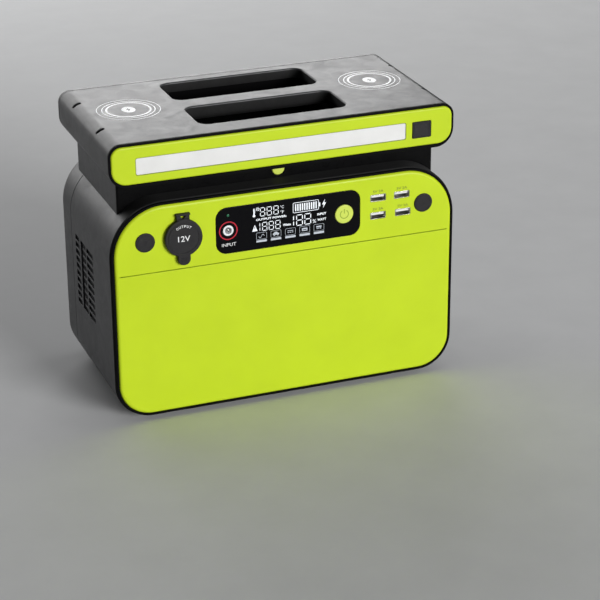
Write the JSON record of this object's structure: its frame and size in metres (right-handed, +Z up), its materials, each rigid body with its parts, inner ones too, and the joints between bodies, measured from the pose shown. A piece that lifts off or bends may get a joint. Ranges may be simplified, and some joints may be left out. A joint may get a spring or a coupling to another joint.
{
  "type": "portable power station",
  "caption": "Portable battery power station with lime front panels, 12 V socket, USB ports, display, light bar, charging deck and two-slot carrying handle.",
  "frame": {"origin": "on the ground, under the middle of the object's bounding box", "axes": "+Z up, +X to the right seen from the front, the control fascia faces -Y"},
  "size_m": [0.286, 0.1561, 0.2305],
  "materials": {
    "charcoal_plastic": "satin, fine moulded texture",
    "black_trim": "satin black",
    "black_gloss": "gloss",
    "lime_plastic": "semi-gloss lime",
    "lime_button": "semi-gloss lime",
    "diffuser": "milky white",
    "window": "high gloss",
    "display": "gloss",
    "green_lens": "gloss",
    "jack_plastic": "white",
    "rubber": "matt rubber",
    "steel": "brushed",
    "screw_steel": "blackened",
    "nickel": "nickel plated",
    "brass": "plain",
    "copper": "enamelled copper wire",
    "ferrite": "matt",
    "circuit_board": "green solder mask",
    "white_plastic": "plain",
    "filter_mesh": "matt",
    "cell_wrap": "blue wrapped can",
    "aluminium": "extruded",
    "transformer_core": "matt",
    "holder_plastic": "matt"
  },
  "bodies": {
    "station": {"case_shell": "charcoal_plastic", "front_rim": "black_trim", "front_panel": "lime_plastic", "control_fascia": "lime_plastic", "rear_cover": "charcoal_plastic", "case_screws": "screw_steel", "rubber_feet": "rubber", "vent_filters": "filter_mesh", "neck_shell": "charcoal_plastic", "neck_front": "black_gloss", "neck_screws": "steel", "deck_shell": "charcoal_plastic", "deck_floor": "charcoal_plastic", "deck_front_rim": "black_trim", "deck_rear_cap": "charcoal_plastic", "grip_well": "black_trim", "lamp_panel": "lime_plastic", "lamp_diffuser": "diffuser", "lamp_board": "aluminium", "lamp_leds": "diffuser", "lamp_switch_base": "black_trim", "charging_coils": "copper", "coil_ferrites": "ferrite", "charger_boards": "circuit_board", "display_window": "window", "display_module": "display", "display_board": "circuit_board", "board_standoffs": "brass", "power_switch": "black_trim", "status_led": "green_lens", "input_jack": "jack_plastic", "input_pin": "nickel", "screw_covers": "rubber", "usb_shells": "nickel", "usb_tongues": "white_plastic", "usb_board": "circuit_board", "socket_housing": "black_trim", "socket_liner": "nickel", "socket_contact": "brass", "socket_nut": "black_trim", "cap_anchor": "rubber", "cell_holders": "holder_plastic", "battery_cells": "cell_wrap", "cell_strips": "nickel", "bms_board": "circuit_board", "inverter_board": "circuit_board", "inverter_heatsinks": "aluminium", "inverter_transformer": "transformer_core", "inverter_capacitors": "aluminium", "fan_frame": "black_trim", "ac_panel": "black_trim", "ac_outlets": "black_gloss", "ac_switch_base": "black_trim"},
    "power_button": {"power_button": "lime_button"},
    "lamp_switch": {"lamp_switch": "rubber"},
    "release_button": {"release_button": "lime_button", "latch_hook": "black_trim"},
    "socket_cap": {"socket_cap": "rubber"},
    "fan_rotor": {"fan_rotor": "black_trim"},
    "ac_rocker": {"ac_rocker": "lime_button"}
  },
  "joints": [
    {"name": "power_button_press", "type": "slide", "parent": "station", "child": "power_button", "axis": [0, 1, 0], "range_m": [0, 0.0012], "stiffness_N_per_m": 500},
    {"name": "lamp_switch_press", "type": "slide", "parent": "station", "child": "lamp_switch", "axis": [0, 1, 0], "range_m": [0, 0.001], "stiffness_N_per_m": 500},
    {"name": "release_button_press", "type": "slide", "parent": "station", "child": "release_button", "axis": [0, 1, 0], "range_m": [0, 0.002], "stiffness_N_per_m": 500},
    {"name": "socket_cap_hinge", "type": "hinge", "parent": "station", "child": "socket_cap", "pos_m": [-0.0855, -0.0776, 0.1659], "axis": [-1, 0, 0], "range_deg": [0, 140]},
    {"name": "fan_spin", "type": "hinge", "parent": "station", "child": "fan_rotor", "pos_m": [-0.1311, 0.0053, 0.094], "axis": [1, 0, 0], "continuous": true},
    {"name": "ac_rocker_tilt", "type": "hinge", "parent": "station", "child": "ac_rocker", "pos_m": [0.042, 0.074, 0.118], "axis": [-1, 0, 0], "range_deg": [0, 24]}
  ]
}
